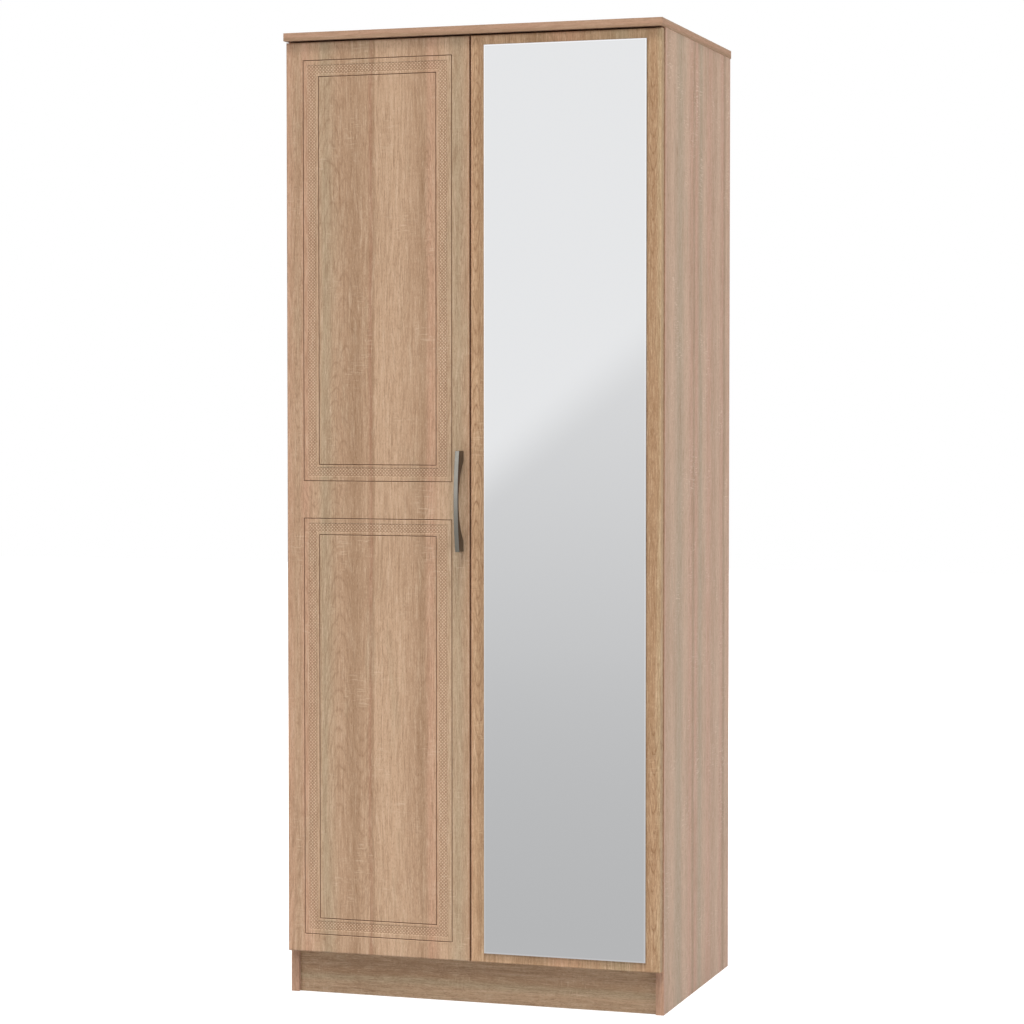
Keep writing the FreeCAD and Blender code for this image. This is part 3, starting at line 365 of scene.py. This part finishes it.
door_left, door_right = left_low.x, left_high.x
door_base, door_top = left_low.z, left_high.z
MARGIN = 0.012
left_door_oak = oak(
    "left_door_oak", 0, 2, spread(door_left, door_right, LEFT_DOOR_BANDS),
    [(door_left + 0.090, 1.70, 0.045, -0.26, 0.9), (door_left + 0.118, 1.28, 0.040, -0.30, 0.8),
     (door_left + 0.100, 1.06, 0.030, -0.16, 0.9), (door_left + 0.285, 1.50, 0.018, -0.16, 0.9),
     (door_left + 0.225, 1.20, 0.030, 0.22, 0.5), (door_left + 0.020, 1.05, 0.016, 0.20, 0.9),
     (door_left + 0.018, 1.50, 0.014, -0.24, 0.8), (door_left + 0.050, 0.86, 0.034, 0.16, 0.8),
     (door_left + 0.105, 0.62, 0.040, -0.24, 0.9), (door_left + 0.150, 0.34, 0.034, 0.20, 0.8),
     (door_left + 0.275, 0.72, 0.022, 0.26, 0.7), (door_left + 0.262, 0.32, 0.020, 0.18, 0.7),
     (door_left + 0.352, 0.80, 0.012, -0.20, 0.9), (door_left + 0.350, 1.44, 0.012, 0.16, 0.9)],
    contrast=1.40, groove=(left_low.y, door_left + MARGIN, door_right - MARGIN,
                           door_base + MARGIN, door_top - MARGIN))
right_door_oak = oak(
    "right_door_oak", 0, 2, spread(right_low.x, right_high.x, RIGHT_DOOR_BANDS),
    [(right_low.x + 0.012, 0.98, 0.020, -0.24, 1.0), (right_low.x + 0.016, 0.60, 0.020, 0.22, 0.9),
     (right_low.x + 0.010, 1.45, 0.018, 0.26, 0.9), (right_low.x + 0.012, 1.72, 0.018, -0.18, 0.8),
     (right_high.x - 0.014, 1.55, 0.018, 0.20, 0.9), (right_high.x - 0.012, 0.34, 0.018, 0.24, 1.0),
     (right_high.x - 0.016, 1.02, 0.016, -0.20, 0.5)],
    shift=2.3, contrast=1.55, figure=0.95, tint=tone(1.08, 1.05, 0.97))
side_figures = [(0.045, 1.42, 0.020, -0.30, 0.8), (0.055, 0.62, 0.022, -0.26, 0.9),
                (-0.135, 1.05, 0.030, 0.35, 0.35), (0.175, 0.95, 0.018, 0.40, 0.4)]
side_oak = oak("side_oak", 1, 2, spread(side_low.y, side_high.y, SIDE_BANDS), side_figures,
               shift=5.1, contrast=1.15, figure=0.40, ticks=0.50, core=(1, 1), tint=tone(1.08, 1.14, 1.28))
# Up the plinth's height: the pale band at the bottom is painted light, paler towards the floor; the bands
# above it are plank colours.
PLINTH_BANDS_WITH_PAINTED_LIGHT = [(-0.02, OAK_LIGHT), (0.018, OAK_LIGHT), (0.034, OAK_GREY), (0.045, OAK_DARK), (0.06, OAK),
                (0.10, OAK_GREY)]
plinth_oak = oak("plinth_oak", 2, 0, PLINTH_BANDS_WITH_PAINTED_LIGHT,
                 [(0.050, -0.10, 0.020, 0.30, 0.5)], shift=1.9, contrast=1.5, tint=tone(0.96, 0.97, 0.95))
# The tint darkens this print on the top, base and hat shelf as painted shade, to offset the strong overhead
# light on the top.
shelf_oak = oak("shelf_oak", 1, 0, spread(side_low.y, side_high.y, SIDE_BANDS),
                [(0.08, 0.12, 0.03, 0.4, 0.6)],
                shift=7.7, contrast=0.8, core=(1, 1), tint=tone(0.86, 0.87, 0.90))
# The dark band low on the top's front edge is painted shade along its lower side, above the doors.
edge_oak = oak("edge_oak", 2, 0, [(1.80, OAK), (1.812, OAK_DARK), (1.818, OAK_PINK), (1.83, OAK)],
               [(1.817, 0.1, 0.006, 0.5, 0.5)], shift=3.3, tint=tone(0.90, 0.90, 0.92), wrapped=True)
upright_edge_oak = oak("upright_edge_oak", 0, 2, [(-0.37, OAK_PINK), (0.0, OAK), (0.37, OAK_PINK)],
                       [(0.0, 0.9, 0.01, 0.5, 0.0)], shift=4.4, tint=tone(0.92, 0.90, 0.92))

dress(left_door_oak, "left_door_panel")
dress(right_door_oak, "right_door_panel")
dress(side_oak, "left_side_panel", "right_side_panel")
dress(plinth_oak, "front_plinth", "rear_plinth")
dress(shelf_oak, "top_panel", "base_panel", "hat_shelf")
dress(edge_oak, "top_edge_bands", "base_edge_band", "shelf_edge_band")
dress(upright_edge_oak, "left_side_edge_band", "right_side_edge_band")

# ---------------------------------------------------------------- other finishes


def metal(name, colour, roughness, grain, base_bump=0.00003):
    """A plated or brushed metal: fine marks in its roughness and surface."""
    g = Graph(name)
    marks = g.noise(g.stretch(g.coordinates.outputs["Object"], grain), detail=3)
    smudge = g.noise(g.coordinates.outputs["Object"], scale=60, detail=3)
    darker = tuple(channel * 0.86 for channel in colour[:3]) + (1.0,)
    g.set(Base_Color=g.mix(g.fade(smudge, 0.35, 0.7), colour, darker), Metallic=1.0,
          Roughness=g.span(marks, 0.3, 0.7, roughness * 0.85, roughness * 1.25),
          Normal=g.bump(marks, base_bump, 0.4))
    return g.material


def plastic(name, colour, roughness, transmission=0.0):
    """A moulded plastic with a faint orange-peel surface."""
    g = Graph(name)
    peel = g.noise(g.coordinates.outputs["Object"], scale=900, detail=2)
    cloud = g.noise(g.coordinates.outputs["Object"], scale=40, detail=3)
    darker = tuple(channel * 0.93 for channel in colour[:3]) + (1.0,)
    g.set(Base_Color=g.mix(cloud, colour, darker),
          Roughness=g.span(peel, 0.3, 0.7, roughness * 0.9, roughness * 1.15),
          Transmission_Weight=transmission, Normal=g.bump(peel, 0.00004, 0.5))
    return g.material


def hardboard():
    """The back: a pale lacquered print inside, bare pressed fibre outside."""
    g = Graph("back_hardboard_sheet")
    facing = g.facing()
    fibre = g.noise(g.stretch(g.coordinates.outputs["Object"], (700, 700, 700)), detail=4, roughness=0.7)
    mottle = g.noise(g.coordinates.outputs["Object"], scale=35, detail=4)
    bare = g.mix(g.fade(fibre, 0.3, 0.7), tone(0.165, 0.095, 0.050), tone(0.260, 0.160, 0.088))
    bare = g.mix(g.math("MULTIPLY", mottle, 0.4), bare, tone(0.205, 0.135, 0.080))
    streak = g.noise(g.stretch(g.coordinates.outputs["Object"], (260, 260, 6)), detail=3)
    printed = g.mix(g.fade(streak, 0.35, 0.7), OAK_LIGHT, OAK)
    outside = g.math("GREATER_THAN", facing[1], 0.5)
    g.set(Base_Color=g.mix(outside, printed, bare),
          Roughness=g.span(fibre, 0.3, 0.7, 0.5, 0.75), Normal=g.bump(fibre, 0.00010, 0.6))
    return g.material


def beech():
    g = Graph("beech_dowel")
    fleck = g.noise(g.stretch(g.coordinates.outputs["Object"], (60, 900, 900)), detail=3)
    g.set(Base_Color=g.mix(g.fade(fleck, 0.35, 0.7), tone(0.56, 0.35, 0.19), tone(0.42, 0.24, 0.12)),
          Roughness=0.6, Normal=g.bump(fleck, 0.0001, 0.5))
    return g.material


def mirror_glass():
    """Silvered glass: a clean reflection, with a painted highlight that makes it a shade brighter along its
    smooth-ground rim.
    """
    g = Graph("mirror_silvered")
    low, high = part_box("mirror")
    x, _, z = g.place()
    rim = g.math("MINIMUM",
                 g.math("MINIMUM", g.math("SUBTRACT", x, low.x), g.math("SUBTRACT", high.x, x)),
                 g.math("MINIMUM", g.math("SUBTRACT", z, low.z), g.math("SUBTRACT", high.z, z)))
    # Painted highlight: the rim's colour is made lighter, as the gleam of a bevelled edge.
    painted_rim_highlight = g.fade(rim, 3.4 * MM, 2.4 * MM)
    haze = g.noise(g.stretch(g.coordinates.outputs["Object"], (9, 9, 5)), detail=3)
    silver = g.mix(g.math("MULTIPLY", haze, 0.25), tone(0.815, 0.822, 0.835), tone(0.80, 0.812, 0.82))
    g.set(Base_Color=g.mix(painted_rim_highlight, silver, tone(0.925, 0.93, 0.94)), Metallic=1.0,
          Roughness=g.math("ADD", g.math("MULTIPLY", painted_rim_highlight, 0.05), g.span(haze, 0.3, 0.7, 0.004, 0.012)))
    return g.material


def handle_nickel():
    """Satin nickel on a casting, brushed, with painted light: the front paler towards the top and darker
    towards the bottom as a painted reflection, and the duller cast sides darker as painted shade.
    """
    g = Graph("satin_nickel_cast")
    low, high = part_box("bow_handle")
    z = g.place()[2]
    marks = g.noise(g.stretch(g.coordinates.outputs["Object"], (1600, 1600, 40)), detail=3)
    smudge = g.noise(g.coordinates.outputs["Object"], scale=60, detail=3)
    # Painted reflection: the front is paler towards the top and darker towards the bottom.
    front = g.mix(g.span(z, low.z, high.z, 0.0, 1.0), tone(0.275, 0.258, 0.222), tone(0.450, 0.428, 0.385))
    front = g.mix(g.math("MULTIPLY", g.fade(smudge, 0.35, 0.7), 0.4), front, tone(0.30, 0.285, 0.25))
    # Painted shade: the faces turned sideways are darker.
    sides_painted_shade = g.fade(g.math("ABSOLUTE", g.facing()[0]), 0.5, 0.8)
    g.set(Base_Color=g.mix(sides_painted_shade, front, tone(0.170, 0.168, 0.160)), Metallic=1.0,
          Roughness=g.math("ADD", g.math("MULTIPLY", sides_painted_shade, 0.10), g.span(marks, 0.3, 0.7, 0.17, 0.25)),
          Normal=g.bump(marks, 0.00003, 0.4))
    return g.material


zinc = metal("zinc_plate", tone(0.62, 0.62, 0.60), 0.34, (500, 500, 500))
chrome = metal("chrome_plate", tone(0.80, 0.80, 0.81), 0.08, (40, 900, 900))
white_plastic = plastic("white_joiner_plastic", tone(0.78, 0.77, 0.74), 0.45)
soft_clear = plastic("clear_bumper_rubber", tone(0.75, 0.76, 0.74), 0.3, 0.7)
foam = plastic("foam_tape_white", tone(0.70, 0.70, 0.68), 0.8)

dress(handle_nickel(), "bow_handle")
dress(mirror_glass(), "mirror")
dress(foam, "mirror_tapes")
dress(hardboard(), "left_back_sheet", "right_back_sheet")
dress(white_plastic, "back_joiner")
dress(chrome, "hanging_rail", "rail_sockets")
dress(soft_clear, "left_door_bumpers", "right_door_bumpers")
dress(beech(), "wood_dowels")
dress(zinc, "cam_locks", "cam_bolts", "back_panel_nails", "rail_socket_screws", "wall_bracket",
      "wall_bracket_screws", "handle_screws",
      *[f"{side}_{kind}" for side in ("left", "right")
        for kind in ("hinge_plates", "hinge_arms", "hinge_links", "hinge_cups", "hinge_pins",
                     "plate_screws", "cup_screws", "hinge_adjusters")])

# ---------------------------------------------------------------- pattern bands
# Each framed field of the left door has a sunk band round it, filled with a raised diamond lattice.

STILE = 0.0345
PLAIN_RAIL = 0.071
FRAME_BAND = 0.031
OUTER_STRIP = 0.0085
INNER_STRIP = 0.005
SUNK = 0.0006
LATTICE_BELOW = 0.0001
LATTICE_DEEP = 0.00042
DIAMOND_HALF = 0.00325
ROWS = round((FRAME_BAND - OUTER_STRIP - INNER_STRIP - 2 * SUNK) / DIAMOND_HALF)


def lattice(name, low_x, high_x, low_z, high_z, face_y):
    """A ring of small diamond points: a grid whose knots are tips and groove crossings in turn.

    Each square of the grid is split along its groove, and the ring is closed by a flat back.
    """
    width, height = high_x - low_x, high_z - low_z
    columns = round(width / DIAMOND_HALF)
    lines = round(height / DIAMOND_HALF)
    tip_y = face_y + LATTICE_BELOW
    back_y = face_y + SUNK
    knots = {}
    points = []
    faces = []

    def knot(i, j, back):
        key = (i, j, back)
        if key not in knots:
            y = back_y if back else tip_y + (LATTICE_DEEP if (i + j) % 2 else 0.0)
            knots[key] = len(points)
            points.append((low_x + width * i / columns, y, low_z + height * j / lines))
        return knots[key]

    def filled(i, j):
        in_grid = 0 <= i < columns and 0 <= j < lines
        in_hole = ROWS <= i < columns - ROWS and ROWS <= j < lines - ROWS
        return in_grid and not in_hole

    for i in range(columns):
        for j in range(lines):
            if not filled(i, j):
                continue
            square = [(i, j), (i + 1, j), (i + 1, j + 1), (i, j + 1)]
            corners = square if (i + j) % 2 else square[1:] + square[:1]
            a, b, c, d = [knot(*corner, False) for corner in corners]
            faces += [(a, b, c), (a, c, d)]
            faces.append(tuple(knot(*corner, True) for corner in reversed(corners)))
            for n, (across, up) in enumerate(((0, -1), (1, 0), (0, 1), (-1, 0))):
                if not filled(i + across, j + up):
                    start, end = square[n], square[(n + 1) % 4]
                    faces.append((knot(*end, False), knot(*start, False),
                                  knot(*start, True), knot(*end, True)))

    mesh = bpy.data.meshes.new(name)
    mesh.from_pydata(points, [], faces)
    mesh.validate()
    ring = bpy.data.objects.new(name, mesh)
    bpy.context.scene.collection.objects.link(ring)
    ring.data.materials.append(left_door_oak)
    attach(ring, "left_door")
    return ring


field_height = (door_top - door_base - 2 * STILE - PLAIN_RAIL) / 2
inset = OUTER_STRIP + SUNK
for name, base in (("lower_pattern_band", door_base + STILE),
                   ("upper_pattern_band", door_base + STILE + field_height + PLAIN_RAIL)):
    lattice(name, door_left + STILE + inset, door_right - STILE - inset,
            base + inset, base + field_height - inset, left_low.y)

# ---------------------------------------------------------------- studio


def flat(name, corners, material):
    mesh = bpy.data.meshes.new(name)
    mesh.from_pydata(corners, [], [tuple(range(len(corners)))])
    plane = bpy.data.objects.new(name, mesh)
    bpy.context.scene.collection.objects.link(plane)
    plane.data.materials.append(material)
    return plane


def by_ray(g, seen, mirrored, lighting):
    """One strength where the camera looks, one in reflections, and one as light on the object."""
    path = g.new("ShaderNodeLightPath")
    strength = g.math("ADD", lighting, g.math("MULTIPLY", path.outputs["Is Glossy Ray"],
                                              g.math("SUBTRACT", mirrored, lighting)))
    return g.math("ADD", g.math("MULTIPLY", strength, g.math("SUBTRACT", 1.0, path.outputs["Is Camera Ray"])),
                  g.math("MULTIPLY", seen, path.outputs["Is Camera Ray"])), path.outputs["Is Glossy Ray"]


FLOOR_SEEN = 0.75
FLOOR_LIGHT = 0.10
FLOOR_MIRRORED_FAR = 0.68
FLOOR_MIRRORED_NEAR = 0.57
FLOOR_GREY = 0.36
FLOOR_NEAR_Y = -1.0
FLOOR_REACH = 14.0
WALL_Y = -7.9
WALL_LEFT = -8.0
WALL_RIGHT = 4.0
WALL_TOP = 15.0
WALL_LIGHT = 0.28
WALL_MIRRORED = 0.97
WALL_EDGE_SLOPE = 0.80
WALL_EDGE_RISE = 2.83


def floor_material():
    """A pale floor, which reflections show greyer in front of the doors."""
    g = Graph("studio_floor")
    y = g.place()[1]
    mirrored = g.span(y, WALL_Y, FLOOR_NEAR_Y, FLOOR_MIRRORED_FAR, FLOOR_MIRRORED_NEAR)
    strength, glossy = by_ray(g, FLOOR_SEEN, mirrored, FLOOR_LIGHT)
    g.set(Base_Color=g.mix(glossy, tone(FLOOR_GREY, FLOOR_GREY, FLOOR_GREY), tone(0, 0, 0)), Roughness=0.9,
          Specular_IOR_Level=0.0, Emission_Color=tone(1, 1, 1), Emission_Strength=strength)
    return g.material


def wall_material():
    """A studio wall behind the camera: bright above a slanting soft edge, greyer below it."""
    g = Graph("studio_wall")
    x, _, z = g.place()
    edge = g.math("ADD", g.math("MULTIPLY", x, WALL_EDGE_SLOPE), WALL_EDGE_RISE)
    above = g.fade(g.math("SUBTRACT", z, edge), -0.20, 0.16)
    lower = g.span(z, 0.0, 1.4, 0.68, 0.85)
    mirrored = g.math("ADD", g.math("MULTIPLY", above, WALL_MIRRORED),
                      g.math("MULTIPLY", g.math("SUBTRACT", 1.0, above), lower))
    strength = by_ray(g, 1.0, mirrored, WALL_LIGHT)[0]
    g.set(Base_Color=tone(0, 0, 0), Roughness=1.0, Specular_IOR_Level=0.0,
          Emission_Color=tone(1, 1, 1), Emission_Strength=strength)
    return g.material


flat("studio_floor", [(-FLOOR_REACH, -FLOOR_REACH, 0), (FLOOR_REACH, -FLOOR_REACH, 0),
                      (FLOOR_REACH, FLOOR_REACH, 0), (-FLOOR_REACH, FLOOR_REACH, 0)], floor_material())
wall = flat("studio_wall", [(WALL_RIGHT, WALL_Y, 0.0), (WALL_LEFT, WALL_Y, 0.0),
                            (WALL_LEFT, WALL_Y, WALL_TOP), (WALL_RIGHT, WALL_Y, WALL_TOP)], wall_material())
wall.visible_shadow = False


def hang(name, data, place, rotation):
    """Sets up a light that reflections don't show."""
    lamp = bpy.data.objects.new(name, data)
    lamp.location = place
    lamp.rotation_euler = rotation
    lamp.visible_glossy = False
    bpy.context.scene.collection.objects.link(lamp)


def softbox(name, place, target, width, height, power):
    """A rectangular studio light at place, aimed at target."""
    data = bpy.data.lights.new(name, "AREA")
    data.shape = "RECTANGLE"
    data.size, data.size_y = width, height
    data.energy = power
    hang(name, data, place, (Vector(target) - Vector(place)).to_track_quat("-Z", "Y").to_euler())


def far_light(name, turn, lean, strength, spread_angle):
    """A soft light so far off that its rays run almost parallel: lean is its angle from the vertical."""
    data = bpy.data.lights.new(name, "SUN")
    data.energy = strength
    data.angle = math.radians(spread_angle)
    hang(name, data, (0.0, -1.0, 5.0), (math.radians(lean), 0.0, math.radians(turn)))


far_light("overhead", 14, 15, 3.3, 14)
far_light("front_key", -22, 42, 0.95, 16)
softbox("side_right", (4.6, -1.2, 2.6), (0.3, 0.1, 1.0), 2.0, 2.6, 80)
softbox("back_left", (-2.6, 4.8, 2.6), (0.0, 0.2, 0.9), 2.4, 2.6, 150)


AIR_LIGHT = 0.33
AIR_MIRRORED = 0.28


def studio_world():
    """Plain white studio air: bright where the camera looks at it, softer as a light."""
    world = bpy.data.worlds.new("studio_air")
    world.use_nodes = True
    tree = world.node_tree
    background = tree.nodes["Background"]
    background.inputs["Color"].default_value = (1, 1, 1, 1)
    path = tree.nodes.new("ShaderNodeLightPath")
    reflected = tree.nodes.new("ShaderNodeMapRange")
    reflected.inputs["To Min"].default_value = AIR_LIGHT
    reflected.inputs["To Max"].default_value = AIR_MIRRORED
    strength = tree.nodes.new("ShaderNodeMapRange")
    strength.inputs["To Max"].default_value = 1.0
    tree.links.new(path.outputs["Is Glossy Ray"], reflected.inputs["Value"])
    tree.links.new(path.outputs["Is Camera Ray"], strength.inputs["Value"])
    tree.links.new(reflected.outputs[0], strength.inputs["To Min"])
    tree.links.new(strength.outputs[0], background.inputs["Strength"])
    bpy.context.scene.world = world


studio_world()
bpy.context.scene.view_settings.view_transform = "Standard"

# ---------------------------------------------------------------- camera

CAMERA_PLACE = (1.72404, -5.29553, 1.11757)
CAMERA_TURN = 18.0037
CAMERA_DIP = 2.0724
SENSOR_MM = 36.0
FOCAL_MM = 100.855
lens = bpy.data.cameras.new("photo_camera")
lens.sensor_width = SENSOR_MM
lens.lens = FOCAL_MM
camera = bpy.data.objects.new("photo_camera", lens)
camera.location = CAMERA_PLACE
camera.rotation_euler = (math.radians(90 - CAMERA_DIP), 0.0, math.radians(CAMERA_TURN))
bpy.context.scene.collection.objects.link(camera)
bpy.context.scene.camera = camera
